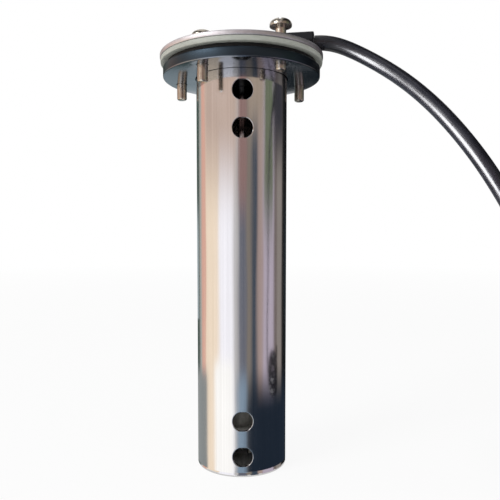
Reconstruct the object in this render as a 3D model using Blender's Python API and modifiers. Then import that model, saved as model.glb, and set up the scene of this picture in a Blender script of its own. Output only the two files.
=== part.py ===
"""Water quality probe: a flanged tank probe with a perforated steel guard tube.

The probe stands on the lower end of its guard tube, with the tube's axis on Z.
The top plate, two gaskets and a clamp ring are held together by five screws.
A lead leaves the gland on the plate, falls to the floor and ends in a coil.
"""
import math

import bpy
import bmesh
from mathutils import Matrix, Vector

# ---- Driving dimensions, in metres ----
CLEAR = 0.0003  # gap between pieces that seat on each other
SLIP = 0.0005  # running gap between the float and the stem

TUBE_DIAMETER = 0.0383
TUBE_WALL = 0.0012
TUBE_REACH = 0.1643  # from the clamp ring's underside to the tube's lower end
FLOW_HOLE = 0.0082
FLOW_HOLE_PITCH = 0.0148
FLOW_HOLE_TURN = math.radians(1.2)  # how far the holes stand from the front
UPPER_HOLE_DROP = 0.0083  # from the clamp ring to the nearest hole's centre
LOWER_HOLE_RISE = 0.0083  # from the tube's end to the nearest hole's centre

PLATE_DIAMETER = 0.0684
PLATE_THICK = 0.0018
PLATE_EDGE = 0.0004
PALE_GASKET_INSET = 0.0002  # how far the rim stands in from the plate's
PALE_GASKET_THICK = 0.0018
RING_INSET = 0.00125
RING_THICK = 0.0040
RING_BORE_CLEAR = 0.0004
RING_EDGE = 0.0005
BLACK_GASKET_INSET = 0.00265
BLACK_GASKET_THICK = 0.0009

SCREW_INSET = 0.0072  # from the plate's rim to the screws' axes
SCREW_ANGLES = (-105.5, -33.8, 33.8, 110.0, 182.5)  # degrees from the front, the third one loose
SCREW_SHANK = 0.0042
SCREW_LENGTH = 0.0165
SCREW_POINT = 0.0009
SCREW_HEAD = 0.0086
SCREW_HEAD_HEIGHT = 0.0032
SCREW_SLOT_WIDTH = 0.0012
SCREW_SLOT_DEPTH = 0.0014
LOOSE_SCREW_RISE = 0.0045  # how far the loose screw stands up from its seat

GLAND_TURN = math.radians(-10.0)  # direction in which the lead leaves
GLAND_STUB = 0.0094
GLAND_BASE = 0.018
GLAND_BASE_THICK = 0.0020
GLAND_BLOCK = 0.0120  # width of the elbow block
GLAND_ARM = 0.0076
GLAND_ARM_END = 0.0185  # from the plate's centre to the end of the arm
GLAND_AXIS_RISE = 0.0044  # from the plate to the lead's axis
GLAND_NUT_FLATS = 0.0082
GLAND_NUT_WALL = 0.0004  # at the middle of a flat
GLAND_NUT_END = 0.0304  # from the plate's centre to the nut's outer face
LOCK_NUT_FLATS = 0.0150
LOCK_NUT_THICK = 0.0030

CUP_DEPTH = 0.0108
CUP_WALL = 0.0012
CUP_FLOOR = 0.0015
POTTING_THICK = 0.0042
POTTING_COVER = 0.0010  # resin over the top of the stem

STEM_DIAMETER = 0.0080
STEM_WALL = 0.0006
STEM_FOOT = 0.0150  # height of the stem's lower end
STOP_DIAMETER = 0.0130
STOP_HEIGHT = 0.0040
LOWER_STOP_RISE = 0.0300
UPPER_STOP_GAP = 0.0300  # from the cup down to the upper stop
FLOAT_DIAMETER = 0.0280
FLOAT_HEIGHT = 0.0340
FLOAT_EDGE = 0.0030
FLOAT_LINER = 0.0010  # wall between the float's bore and its magnet
MAGNET_WIDTH = 0.0036
MAGNET_HEIGHT = 0.0050
FLOAT_CAP_THICK = 0.0020

BOARD_WIDTH = 0.0050
BOARD_THICK = 0.0008
BOARD_OFFSET = 0.0010
BOARD_END_GAP = 0.0040
REED_COUNT = 5
REED_DIAMETER = 0.0018
REED_LENGTH = 0.0110

HOLDER_SOCKET = 0.0125
HOLDER_SOCKET_TOP = 0.0240
HOLDER_FLANGE = 0.0160
HOLDER_FLANGE_THICK = 0.0024
HOLDER_NOSE = 0.0120
HOLDER_NOSE_END = 0.0075
HOLDER_EDGE = 0.0006
GUIDE_SEAT = 0.0140
GUIDE_THICK = 0.0030
GUIDE_RING = 0.0170
GUIDE_ARMS = 3
GUIDE_ARM_WIDTH = 0.0030
ELECTRODE_DIAMETER = 0.0020
ELECTRODE_SPACING = 0.0066
ELECTRODE_REACH = 0.0045  # length below the holder
ELECTRODE_SEAT = 0.0040
BULB_DIAMETER = 0.0026
BULB_REACH = 0.0034
PLUG_THICK = 0.0020

LEAD_DIAMETER = 0.0060
CORE_DIAMETER = 0.0034  # the bundle of stripped cores inside the gland
CORE_ROOM = 0.0009  # gap round the cores in the gland
LEAD_ENTRY_START = 0.0125
SEAL_START = 0.0195
LEAD_STRAIGHT = 0.0040  # how soon the free lead may bend from each of its ends
COIL_CENTRE = (0.1600, -0.0200)
COIL_MEAN_RADIUS = 0.0330
COIL_TURNS = 5.25
COIL_STEP = 0.0065  # from one turn to the next, and from layer to layer
COIL_POINTS = 24  # points in a turn
TIE_THICK = 0.0008
TIE_WIDTH = 0.0060
TIE_SLACK = 0.0008  # room across the bundle for the turns that curve through the tie
TIE_CORNER = 0.0020
TIE_PLACES = (math.radians(135.0), math.radians(-45.0))

SHELL_HEIGHT = 0.0136
SHELL_WIDTH = 0.0156
SHELL_LENGTH = 0.0220
SHELL_WALL = 0.0014
SHELL_BACK = 0.0090  # solid part of the shell behind the pins
SHELL_EDGE = 0.0010
BACK_SEAL_DIAMETER = 0.0092
BACK_SEAL_LENGTH = 0.0040
PIN_LENGTH = 0.0060
PIN_SIZE = 0.0012
PIN_PITCH = 0.0042
INSERT_THICK = 0.0020
TAIL_LENGTH = 0.0225

FINE = 60  # facets round the flange and tube
MEDIUM = 28
SMALL = 16
TINY = 10

# ---- Heights that follow from the sizes above ----
RING_BOTTOM = TUBE_REACH
RING_TOP = RING_BOTTOM + RING_THICK
BLACK_BOTTOM = RING_TOP + CLEAR
BLACK_TOP = BLACK_BOTTOM + BLACK_GASKET_THICK
PALE_BOTTOM = BLACK_TOP + CLEAR
PALE_TOP = PALE_BOTTOM + PALE_GASKET_THICK
PLATE_BOTTOM = PALE_TOP + CLEAR
PLATE_TOP = PLATE_BOTTOM + PLATE_THICK
TUBE_TOP = PLATE_BOTTOM - CLEAR
TUBE_RADIUS = TUBE_DIAMETER / 2
TUBE_BORE = TUBE_RADIUS - TUBE_WALL
CUP_TOP = PLATE_BOTTOM - CLEAR
CUP_BOTTOM = CUP_TOP - CUP_DEPTH
CUP_RADIUS = TUBE_BORE - CLEAR
POTTING_BOTTOM = CUP_BOTTOM + CUP_FLOOR + CLEAR
POTTING_TOP = POTTING_BOTTOM + POTTING_THICK
STEM_RADIUS = STEM_DIAMETER / 2
STEM_BORE = STEM_RADIUS - STEM_WALL
STEM_TOP = POTTING_TOP - POTTING_COVER - CLEAR
LOCK_NUT_TOP = PLATE_BOTTOM - CLEAR
LOCK_NUT_BOTTOM = LOCK_NUT_TOP - LOCK_NUT_THICK
STUB_BOTTOM = LOCK_NUT_BOTTOM
GLAND_BOTTOM = PLATE_TOP + CLEAR
GLAND_AXIS = PLATE_TOP + GLAND_AXIS_RISE
UPPER_STOP_TOP = CUP_BOTTOM - UPPER_STOP_GAP
UPPER_STOP_BOTTOM = UPPER_STOP_TOP - STOP_HEIGHT
LOWER_STOP_TOP = LOWER_STOP_RISE + STOP_HEIGHT
FLOAT_BOTTOM = LOWER_STOP_TOP + CLEAR
FLOAT_TOP = FLOAT_BOTTOM + FLOAT_HEIGHT
FLOAT_TRAVEL = UPPER_STOP_BOTTOM - CLEAR - FLOAT_TOP
LEAD_RADIUS = LEAD_DIAMETER / 2
COIL_SWING = COIL_STEP * COIL_TURNS / 4  # half the coil's radial width
COIL_OUTER = COIL_MEAN_RADIUS + COIL_SWING
COIL_INNER = COIL_MEAN_RADIUS - COIL_SWING
COIL_FLOOR = TIE_THICK + 2 * CLEAR + LEAD_RADIUS  # height of the lower turns

RING_RADIUS = PLATE_DIAMETER / 2 - RING_INSET
PALE_RADIUS = PLATE_DIAMETER / 2 - PALE_GASKET_INSET
BLACK_RADIUS = PLATE_DIAMETER / 2 - BLACK_GASKET_INSET
BOLT_RADIUS = PLATE_DIAMETER / 2 - SCREW_INSET
NUT_POCKET = GLAND_NUT_FLATS / 2 - GLAND_NUT_WALL

# What steers the free lead: out of the gland, down in an arc, and along the floor to the coil.
LEAD_ROUTE = (
    (0.0413, -0.0070, 0.1766),
    (0.0519, -0.0099, 0.1706),
    (0.0607, -0.0167, 0.1628),
    (0.0677, -0.0242, 0.1544),
    (0.0742, -0.0309, 0.1453),
    (0.0803, -0.0363, 0.1357),
    (0.0862, -0.0405, 0.1258),
    (0.0917, -0.0437, 0.1155),
    (0.0968, -0.0463, 0.1050),
    (0.1014, -0.0487, 0.0941),
    (0.1054, -0.0510, 0.0828),
    (0.1089, -0.0534, 0.0710),
    (0.1117, -0.0559, 0.0586),
    (0.1140, -0.0579, 0.0457),
    (0.1158, -0.0583, 0.0323),
    (0.1172, -0.0549, 0.0196),
    (0.1180, -0.0472, 0.0101),
    (0.1184, -0.0378, 0.0054),
)


# ---- Tools shared by the pieces ----
def clear_scene():
    for obj in list(bpy.data.objects):
        bpy.data.objects.remove(obj, do_unlink=True)


def new_collection(name):
    collection = bpy.data.collections.new(name)
    bpy.context.scene.collection.children.link(collection)
    return collection


def new_material(name, colour, roughness, metallic=0.0):
    material = bpy.data.materials.new(name)
    material.use_nodes = True
    shader = material.node_tree.nodes["Principled BSDF"]
    shader.inputs["Base Color"].default_value = (*colour, 1.0)
    shader.inputs["Roughness"].default_value = roughness
    shader.inputs["Metallic"].default_value = metallic
    material.diffuse_color = (*colour, 1.0)
    return material


def new_object(name, mesh, collection=None):
    obj = bpy.data.objects.new(name, mesh)
    (collection or parts).objects.link(obj)
    return obj


def as_cutter(obj):
    """Set an object aside as a cutting tool."""
    obj.hide_render = True
    obj.display_type = "WIRE"
    return obj


def turned(name, profile, steps, collection=None, closed=True):
    """A body of revolution about Z from (radius, height) points that run down the outer side."""
    mesh = bpy.data.meshes.new(name)
    count = len(profile)
    edges = [(i, i + 1) for i in range(count - 1)]
    if closed:
        edges.append((count - 1, 0))
    mesh.from_pydata([(r, 0.0, z) for r, z in profile], edges, [])
    obj = new_object(name, mesh, collection)
    screw = obj.modifiers.new("Turn", "SCREW")
    screw.axis = "Z"
    screw.steps = steps
    screw.render_steps = steps
    screw.use_merge_vertices = True
    screw.merge_threshold = 0.00001
    return obj


def ring_profile(outer, inner, bottom, top, edge=0.0):
    """The section of a flat ring, its outer edges taken off by a small chamfer."""
    if edge == 0.0:
        return [(outer, top), (outer, bottom), (inner, bottom), (inner, top)]
    return [
        (outer - edge, top),
        (outer, top - edge),
        (outer, bottom + edge),
        (outer - edge, bottom),
        (inner, bottom),
        (inner, top),
    ]


def rod(name, radius, start, end, steps, collection=None):
    """A plain round bar between two points."""
    axis = Vector(end) - Vector(start)
    mesh = bpy.data.meshes.new(name)
    bm = bmesh.new()
    bmesh.ops.create_cone(
        bm, cap_ends=True, segments=steps, radius1=radius, radius2=radius, depth=axis.length
    )
    turn = axis.to_track_quat("Z", "Y").to_matrix().to_4x4()
    place = Matrix.Translation((Vector(start) + Vector(end)) / 2) @ turn
    bmesh.ops.transform(bm, matrix=place, verts=bm.verts)
    bm.to_mesh(mesh)
    bm.free()
    return new_object(name, mesh, collection)


def block(name, size, centre, edge=0.0, collection=None, turn=0.0):
    """A box, its edges rounded when edge is given, turned about Z where it stands."""
    mesh = bpy.data.meshes.new(name)
    bm = bmesh.new()
    bmesh.ops.create_cube(bm, size=1.0)
    bmesh.ops.scale(bm, vec=size, verts=bm.verts)
    bmesh.ops.rotate(bm, matrix=Matrix.Rotation(turn, 3, "Z"), verts=bm.verts)
    bmesh.ops.translate(bm, vec=centre, verts=bm.verts)
    bm.to_mesh(mesh)
    bm.free()
    obj = new_object(name, mesh, collection)
    if edge > 0.0:
        bevel = obj.modifiers.new("Edges", "BEVEL")
        bevel.width = edge
        bevel.segments = 2
    return obj


def combine(obj, tool, operation="DIFFERENCE"):
    boolean = obj.modifiers.new(tool.name, "BOOLEAN")
    boolean.operation = operation
    boolean.object = as_cutter(tool)
    boolean.solver = "EXACT"


def settle(obj, material, sharp=35.0):
    """Bake the modifiers, shade the round faces smooth and give the piece its material."""
    bpy.context.view_layer.update()
    graph = bpy.context.evaluated_depsgraph_get()
    mesh = bpy.data.meshes.new_from_object(obj.evaluated_get(graph))
    mesh.name = obj.name
    obj.modifiers.clear()
    obj.data = mesh
    mesh.shade_smooth()
    mesh.set_sharp_from_angle(angle=math.radians(sharp))
    mesh.materials.clear()
    mesh.materials.append(material)
    return obj


def smooth_route(points, spacing):
    """Even points along an even-bending curve that the given points steer."""
    knots = [Vector(p) for p in points]
    fine = []
    for a, b, c, d in zip(knots, knots[1:], knots[2:], knots[3:]):
        for k in range(24):
            t = k / 24
            fine.append(
                ((1 - t) ** 3 * a + (3 * t ** 3 - 6 * t * t + 4) * b
                 + (-3 * t ** 3 + 3 * t * t + 3 * t + 1) * c + t ** 3 * d) / 6
            )
    fine.append((knots[-3] + 4 * knots[-2] + knots[-1]) / 6)
    lengths = [0.0]
    for a, b in zip(fine, fine[1:]):
        lengths.append(lengths[-1] + (b - a).length)
    count = max(2, round(lengths[-1] / spacing))
    even = []
    place = 0
    for k in range(count + 1):
        target = lengths[-1] * k / count
        while place < len(fine) - 2 and lengths[place + 1] < target:
            place += 1
        span = lengths[place + 1] - lengths[place]
        even.append(fine[place].lerp(fine[place + 1], (target - lengths[place]) / span))
    return even


def cable(name, points, radius, sides_level):
    """A tube along a line of points, made a mesh with its end caps welded on."""
    curve = bpy.data.curves.new(name, "CURVE")
    curve.dimensions = "3D"
    curve.bevel_depth = radius
    curve.bevel_resolution = sides_level
    curve.use_fill_caps = True
    curve.twist_mode = "MINIMUM"
    spline = curve.splines.new("POLY")
    spline.points.add(len(points) - 1)
    for knot, point in zip(spline.points, points):
        knot.co = (*point, 1.0)
    guide = new_object(name + "_path", curve)
    bpy.context.view_layer.update()
    graph = bpy.context.evaluated_depsgraph_get()
    mesh = bpy.data.meshes.new_from_object(guide.evaluated_get(graph))
    bm = bmesh.new()
    bm.from_mesh(mesh)
    bmesh.ops.remove_doubles(bm, verts=bm.verts, dist=0.000005)
    bm.to_mesh(mesh)
    bm.free()
    obj = new_object(name, mesh)
    obj.matrix_world = guide.matrix_world
    bpy.data.objects.remove(guide, do_unlink=True)
    return obj


def gland_point(reach, height):
    """A point on the line along which the lead leaves the gland."""
    return Vector((reach * math.cos(GLAND_TURN), reach * math.sin(GLAND_TURN), height))


def screw_place(index):
    """The centre of a screw hole, counted from the far left round by the front."""
    angle = math.radians(SCREW_ANGLES[index])
    return BOLT_RADIUS * math.sin(angle), -BOLT_RADIUS * math.cos(angle)


def cut_screw_holes(obj, bottom, top):
    """Drill the screw pattern through a disc."""
    for index in range(len(SCREW_ANGLES)):
        x, y = screw_place(index)
        drill = rod(
            f"{obj.name}_drill_{index + 1}", SCREW_SHANK / 2 + CLEAR,
            (x, y, bottom - CLEAR), (x, y, top + CLEAR), SMALL, cutters,
        )
        combine(obj, drill)


# ---- Flange ----
def make_top_plate():
    """Steel disc that carries the tube, the header and the gland."""
    profile = ring_profile(
        PLATE_DIAMETER / 2, GLAND_STUB / 2 + CLEAR, PLATE_BOTTOM, PLATE_TOP, PLATE_EDGE
    )
    plate = turned("top_plate", profile, FINE)
    cut_screw_holes(plate, PLATE_BOTTOM, PLATE_TOP)
    settle(plate, polished_steel)


def make_gaskets():
    """Pale sealing gasket under the plate, and a thinner black one on the clamp ring."""
    bore = TUBE_RADIUS + CLEAR
    pale = turned(
        "pale_gasket",
        ring_profile(PALE_RADIUS, bore, PALE_BOTTOM, PALE_TOP), FINE,
    )
    cut_screw_holes(pale, PALE_BOTTOM, PALE_TOP)
    settle(pale, pale_rubber)
    black = turned(
        "black_gasket",
        ring_profile(BLACK_RADIUS, bore, BLACK_BOTTOM, BLACK_TOP), FINE,
    )
    cut_screw_holes(black, BLACK_BOTTOM, BLACK_TOP)
    settle(black, black_rubber)


def make_clamp_ring():
    """Dark lower ring that the screws draw up against the gaskets."""
    profile = ring_profile(
        RING_RADIUS, TUBE_RADIUS + RING_BORE_CLEAR, RING_BOTTOM, RING_TOP, RING_EDGE
    )
    ring = turned("clamp_ring", profile, FINE)
    cut_screw_holes(ring, RING_BOTTOM, RING_TOP)
    settle(ring, dark_metal)


def make_screws():
    """Five slotted round-head screws; the one at the near right stands proud of its seat."""
    head, shank = SCREW_HEAD / 2, SCREW_SHANK / 2
    crown = [
        (head * math.sin(a), SCREW_HEAD_HEIGHT * (0.3 + 0.7 * math.cos(a)))
        for a in (math.radians(22.5 * k) for k in range(5))
    ]
    crown[0] = (0.0, SCREW_HEAD_HEIGHT)
    profile = crown + [
        (head, 0.0),
        (shank, 0.0),
        (shank, SCREW_POINT - SCREW_LENGTH),
        (shank - SCREW_POINT, -SCREW_LENGTH),
        (0.0, -SCREW_LENGTH),
    ]
    blank = turned("screw_blank", profile, SMALL, closed=False)
    slot = block(
        "screw_slot", (SCREW_HEAD + 2 * CLEAR, SCREW_SLOT_WIDTH, 2 * SCREW_SLOT_DEPTH),
        (0.0, 0.0, SCREW_HEAD_HEIGHT), collection=cutters,
    )
    combine(blank, slot)
    settle(blank, bright_steel)
    mesh = blank.data
    bpy.data.objects.remove(blank, do_unlink=True)
    for index in range(len(SCREW_ANGLES)):
        loose = index == 2
        name = "loose_screw" if loose else f"flange_screw_{index + 1}"
        screw = new_object(name, mesh)
        rise = CLEAR + (LOOSE_SCREW_RISE if loose else 0.0)
        screw.location = (*screw_place(index), PLATE_TOP + rise)
        screw.rotation_euler.z = 0.7 * index


# ---- Guard tube ----
def make_guard_tube():
    """Polished tube with a pair of flow holes near each end, all on the front."""
    profile = ring_profile(TUBE_RADIUS, TUBE_BORE, 0.0, TUBE_TOP)
    tube = turned("guard_tube", profile, FINE)
    top_hole = RING_BOTTOM - UPPER_HOLE_DROP
    heights = (
        top_hole, top_hole - FLOW_HOLE_PITCH,
        LOWER_HOLE_RISE + FLOW_HOLE_PITCH, LOWER_HOLE_RISE,
    )
    reach = Vector((math.sin(FLOW_HOLE_TURN), -math.cos(FLOW_HOLE_TURN), 0.0))
    for index, height in enumerate(heights):
        level = Vector((0.0, 0.0, height))
        drill = rod(
            f"flow_drill_{index + 1}", FLOW_HOLE / 2, level + reach * (TUBE_RADIUS + CLEAR),
            level + reach * TUBE_RADIUS / 2, MEDIUM, cutters,
        )
        combine(tube, drill)
    settle(tube, polished_steel)


# ---- Gland and lead entry ----
def make_gland_body():
    """Moulded elbow: a threaded stub through the plate, a block, and an arm for the lead."""
    base = turned(
        "gland_body",
        [
            (0.0, GLAND_BOTTOM + GLAND_BASE_THICK),
            (GLAND_BASE / 2, GLAND_BOTTOM + GLAND_BASE_THICK),
            (GLAND_BASE / 2, GLAND_BOTTOM),
            (GLAND_STUB / 2, GLAND_BOTTOM),
            (GLAND_STUB / 2, STUB_BOTTOM),
            (0.0, STUB_BOTTOM),
        ],
        MEDIUM, closed=False,
    )
    crown = GLAND_AXIS + GLAND_NUT_FLATS / 2 - GLAND_BOTTOM
    head = block(
        "gland_block", (GLAND_BLOCK, GLAND_BLOCK, crown),
        (0.0, 0.0, GLAND_BOTTOM + crown / 2 + CLEAR), SHELL_EDGE, cutters, GLAND_TURN,
    )
    arm = rod(
        "gland_arm", GLAND_ARM / 2, gland_point(0.0, GLAND_AXIS),
        gland_point(GLAND_ARM_END, GLAND_AXIS), MEDIUM, cutters,
    )
    core_bore = rod(
        "gland_core_bore", CORE_DIAMETER / 2 + CORE_ROOM,
        (0.0, 0.0, STUB_BOTTOM - CLEAR), (0.0, 0.0, GLAND_AXIS), MEDIUM, cutters,
    )
    lead_bore = rod(
        "gland_lead_bore", LEAD_RADIUS + CLEAR, gland_point(0.0, GLAND_AXIS),
        gland_point(GLAND_ARM_END + CLEAR, GLAND_AXIS), MEDIUM, cutters,
    )
    combine(base, head, "UNION")
    combine(base, arm, "UNION")
    combine(base, core_bore)
    combine(base, lead_bore)
    settle(base, black_plastic)


def make_gland_nut():
    """Hex nut on the arm's end; its outer face closes on the seal round the lead."""
    start = gland_point(GLAND_ARM_END + CLEAR, GLAND_AXIS)
    end = gland_point(GLAND_NUT_END, GLAND_AXIS)
    nut = rod("gland_nut", GLAND_NUT_FLATS / math.sqrt(3), start, end, 6)
    lean = Matrix.Rotation(math.radians(30.0), 4, (end - start).normalized())
    middle = Matrix.Translation((start + end) / 2)
    nut.data.transform(middle @ lean @ middle.inverted())
    mouth = rod(
        "nut_mouth", LEAD_RADIUS + CLEAR, start, end + (end - start) * 0.1, MEDIUM, cutters
    )
    pocket = rod(
        "nut_pocket", NUT_POCKET,
        start - (end - start) * 0.1, start.lerp(end, 0.72), MEDIUM, cutters,
    )
    combine(nut, mouth)
    combine(nut, pocket)
    settle(nut, black_plastic)


def make_gland_seal():
    """Rubber bush that the nut presses round the lead."""
    start = gland_point(SEAL_START, GLAND_AXIS)
    end = gland_point(GLAND_ARM_END, GLAND_AXIS).lerp(gland_point(GLAND_NUT_END, GLAND_AXIS), 0.68)
    seal = rod("gland_seal", NUT_POCKET - CLEAR / 2, start, end, MEDIUM)
    run = (end - start) * 0.1
    bore = rod("seal_bore", LEAD_RADIUS + CLEAR / 2, start - run, end + run, MEDIUM, cutters)
    combine(seal, bore)
    settle(seal, black_rubber)


def make_lock_nut():
    """Thin nut under the plate that holds the gland down."""
    nut = rod(
        "gland_lock_nut", LOCK_NUT_FLATS / math.sqrt(3),
        (0.0, 0.0, LOCK_NUT_BOTTOM), (0.0, 0.0, LOCK_NUT_TOP), 6,
    )
    bore = rod(
        "lock_nut_bore", GLAND_STUB / 2 + CLEAR,
        (0.0, 0.0, LOCK_NUT_BOTTOM - CLEAR), (0.0, 0.0, LOCK_NUT_TOP + CLEAR), MEDIUM, cutters,
    )
    combine(nut, bore)
    settle(nut, bright_steel)


def make_lead_entry():
    """The jacketed end of the lead inside the gland, and the bare cores that turn down from it."""
    entry = rod(
        "lead_entry", LEAD_RADIUS, gland_point(LEAD_ENTRY_START, GLAND_AXIS),
        gland_point(GLAND_NUT_END, GLAND_AXIS), SMALL,
    )
    settle(entry, black_jacket)
    bend = LEAD_ENTRY_START / 2 - CLEAR
    cores = [Vector((0.0, 0.0, POTTING_TOP + CLEAR))]
    drop = GLAND_AXIS - bend
    for k in range(9):
        angle = math.radians(90.0 * k / 8)
        cores.append(gland_point(bend * (1 - math.cos(angle)), drop + bend * math.sin(angle)))
    cores.append(gland_point(LEAD_ENTRY_START - CLEAR, GLAND_AXIS))
    settle(cable("core_bundle", cores, CORE_DIAMETER / 2, 2), core_colour)


# ---- Header ----
def make_header():
    """Cup under the plate and the resin in it, which holds the top of the stem."""
    cup = turned(
        "header_cup",
        [
            (CUP_RADIUS, CUP_TOP),
            (CUP_RADIUS, CUP_BOTTOM),
            (STEM_RADIUS + CLEAR, CUP_BOTTOM),
            (STEM_RADIUS + CLEAR, CUP_BOTTOM + CUP_FLOOR),
            (CUP_RADIUS - CUP_WALL, CUP_BOTTOM + CUP_FLOOR),
            (CUP_RADIUS - CUP_WALL, CUP_TOP),
        ],
        MEDIUM,
    )
    settle(cup, black_plastic)
    potting = turned(
        "potting",
        [
            (0.0, POTTING_TOP),
            (CUP_RADIUS - CUP_WALL - CLEAR, POTTING_TOP),
            (CUP_RADIUS - CUP_WALL - CLEAR, POTTING_BOTTOM),
            (STEM_RADIUS + CLEAR, POTTING_BOTTOM),
            (STEM_RADIUS + CLEAR, POTTING_TOP - POTTING_COVER),
            (0.0, POTTING_TOP - POTTING_COVER),
        ],
        MEDIUM, closed=False,
    )
    settle(potting, resin)


# ---- Stem, float and stops ----
def make_stem():
    """Thin closed tube on the axis: the float's rail and the housing of the level board."""
    stem = turned(
        "stem_tube", ring_profile(STEM_RADIUS, STEM_BORE, STEM_FOOT, STEM_TOP), MEDIUM
    )
    settle(stem, polished_steel)
    plug = rod(
        "stem_plug", STEM_BORE - CLEAR, (0.0, 0.0, STEM_FOOT + CLEAR),
        (0.0, 0.0, STEM_FOOT + PLUG_THICK), MEDIUM,
    )
    settle(plug, bright_steel)


def make_stops():
    """Collars on the stem that end the float's travel."""
    for name, bottom in (("lower_stop", LOWER_STOP_RISE), ("upper_stop", UPPER_STOP_BOTTOM)):
        profile = ring_profile(
            STOP_DIAMETER / 2, STEM_RADIUS + CLEAR, bottom, bottom + STOP_HEIGHT, PLATE_EDGE
        )
        settle(turned(name, profile, MEDIUM), white_plastic)


def make_float():
    """Foam float with a ring magnet under a snap-in cap."""
    bore = STEM_RADIUS + SLIP
    pocket_in = bore + FLOAT_LINER
    pocket_out = pocket_in + MAGNET_WIDTH + 2 * CLEAR
    pocket_floor = FLOAT_TOP - FLOAT_CAP_THICK - MAGNET_HEIGHT - 2 * CLEAR
    outer = FLOAT_DIAMETER / 2
    arc = [math.radians(30.0 * k) for k in range(4)]
    shoulder = [
        (outer - FLOAT_EDGE * (1 - math.sin(a)), FLOAT_TOP - FLOAT_EDGE * (1 - math.cos(a)))
        for a in arc
    ]
    heel = [
        (outer - FLOAT_EDGE * (1 - math.cos(a)), FLOAT_BOTTOM + FLOAT_EDGE * (1 - math.sin(a)))
        for a in arc
    ]
    profile = shoulder + heel + [
        (bore, FLOAT_BOTTOM),
        (bore, FLOAT_TOP - FLOAT_CAP_THICK - CLEAR),
        (pocket_in, FLOAT_TOP - FLOAT_CAP_THICK - CLEAR),
        (pocket_in, pocket_floor),
        (pocket_out, pocket_floor),
        (pocket_out, FLOAT_TOP),
    ]
    settle(turned("float_body", profile, MEDIUM), float_foam)
    magnet = ring_profile(
        pocket_out - CLEAR, pocket_in + CLEAR, pocket_floor + CLEAR,
        pocket_floor + CLEAR + MAGNET_HEIGHT,
    )
    settle(turned("float_magnet", magnet, MEDIUM), magnet_grey)
    cap = ring_profile(
        pocket_out - CLEAR, bore, FLOAT_TOP - FLOAT_CAP_THICK, FLOAT_TOP
    )
    settle(turned("float_cap", cap, MEDIUM), black_plastic)


def make_level_board():
    """Board in the stem with a column of glass reed switches that the float's magnet closes."""
    bottom = STEM_FOOT + PLUG_THICK + BOARD_END_GAP
    top = STEM_TOP - CLEAR
    board = block(
        "reed_board", (BOARD_WIDTH, BOARD_THICK, top - bottom),
        (0.0, BOARD_OFFSET, (top + bottom) / 2),
    )
    settle(board, board_green)
    level = BOARD_OFFSET - BOARD_THICK / 2 - CLEAR - REED_DIAMETER / 2
    first = FLOAT_BOTTOM + FLOAT_HEIGHT / 2
    for index in range(REED_COUNT):
        middle = first + FLOAT_TRAVEL * index / (REED_COUNT - 1)
        switch = rod(
            f"reed_switch_{index + 1}", REED_DIAMETER / 2,
            (0.0, level, middle - REED_LENGTH / 2), (0.0, level, middle + REED_LENGTH / 2), TINY,
        )
        settle(switch, reed_glass)


# ---- Foot of the stem ----
def make_electrode_holder():
    """Insulating foot: a socket for the stem, a flange for the guide, and a nose for the sensors."""
    flange_bottom = GUIDE_SEAT - CLEAR - HOLDER_FLANGE_THICK
    holder = turned(
        "electrode_holder",
        [
            (HOLDER_SOCKET / 2, HOLDER_SOCKET_TOP),
            (HOLDER_SOCKET / 2, GUIDE_SEAT - CLEAR),
            (HOLDER_FLANGE / 2, GUIDE_SEAT - CLEAR),
            (HOLDER_FLANGE / 2, flange_bottom),
            (HOLDER_NOSE / 2, flange_bottom),
            (HOLDER_NOSE / 2, HOLDER_NOSE_END + HOLDER_EDGE),
            (HOLDER_NOSE / 2 - HOLDER_EDGE, HOLDER_NOSE_END),
            (0.0, HOLDER_NOSE_END),
            (0.0, STEM_FOOT - CLEAR),
            (STEM_RADIUS + CLEAR, STEM_FOOT - CLEAR),
            (STEM_RADIUS + CLEAR, HOLDER_SOCKET_TOP),
        ],
        MEDIUM,
    )
    seat_top = HOLDER_NOSE_END + ELECTRODE_SEAT
    seats = (
        (-ELECTRODE_SPACING / 2, ELECTRODE_DIAMETER),
        (ELECTRODE_SPACING / 2, ELECTRODE_DIAMETER),
        (0.0, BULB_DIAMETER),
    )
    for index, (x, diameter) in enumerate(seats):
        drill = rod(
            f"seat_drill_{index + 1}", diameter / 2 + CLEAR,
            (x, 0.0, HOLDER_NOSE_END - CLEAR), (x, 0.0, seat_top + CLEAR), TINY, cutters,
        )
        combine(holder, drill)
    settle(holder, white_plastic)
    for index, x in enumerate((-ELECTRODE_SPACING / 2, ELECTRODE_SPACING / 2)):
        pin = rod(
            f"electrode_{index + 1}", ELECTRODE_DIAMETER / 2,
            (x, 0.0, HOLDER_NOSE_END - ELECTRODE_REACH), (x, 0.0, seat_top), TINY,
        )
        settle(pin, bright_steel)
    tip = HOLDER_NOSE_END - BULB_REACH
    radius = BULB_DIAMETER / 2
    dome = [
        (radius * math.cos(a), tip + radius * (1 - math.sin(a)))
        for a in (math.radians(30.0 * k) for k in range(4))
    ]
    dome[-1] = (0.0, tip)
    profile = [(0.0, seat_top), (radius, seat_top)] + dome
    bulb = turned("temperature_bulb", profile, TINY, closed=False)
    settle(bulb, bright_steel)


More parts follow.
